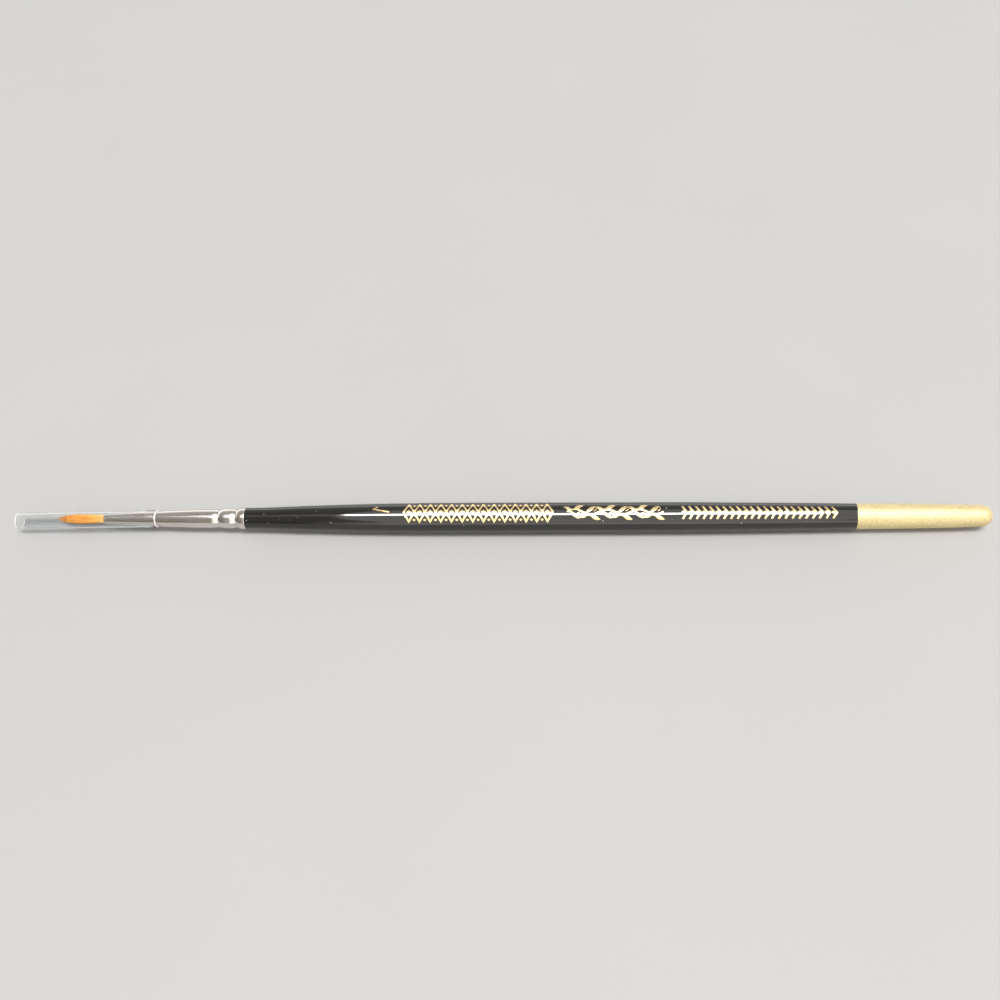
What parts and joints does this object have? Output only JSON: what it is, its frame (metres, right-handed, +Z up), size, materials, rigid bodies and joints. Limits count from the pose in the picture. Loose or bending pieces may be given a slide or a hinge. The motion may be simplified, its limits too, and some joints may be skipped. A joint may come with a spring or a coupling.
{
  "type": "fine detail brush",
  "caption": "Slim round artist's brush with a pointed hair tuft, crimped metal ferrule, turned lacquered handle with a gold dipped end, and a clear tube cap pushed over the tuft.",
  "frame": {"origin": "under the middle of the brush's whole length with its cap on, on the surface that it lies on", "axes": "+X along the brush from the tuft to the end of the handle, +Z up from the surface, +Y across the brush"},
  "size_m": [0.184, 0.0056, 0.0055],
  "materials": {
    "black_lacquer": "gloss",
    "gold_paint": "satin",
    "nickel_plate": "gloss",
    "tuft_hair": "satin",
    "cotton_thread": "matte",
    "amber_resin": "gloss",
    "wood_glue": "satin",
    "clear_plastic": "gloss"
  },
  "bodies": {
    "brush": {"handle": "black_lacquer", "gold_end_coat": "gold_paint", "ferrule": "nickel_plate", "hair_tuft": "tuft_hair", "binding_thread": "cotton_thread", "root_glue": "amber_resin", "tenon_glue": "wood_glue"},
    "cap": {"protective_cap": "clear_plastic"}
  },
  "joints": [
    {"name": "cap_pull", "type": "slide", "parent": "brush", "child": "cap", "axis": [-1, 0, 0], "range_m": [0, 0.022]}
  ]
}
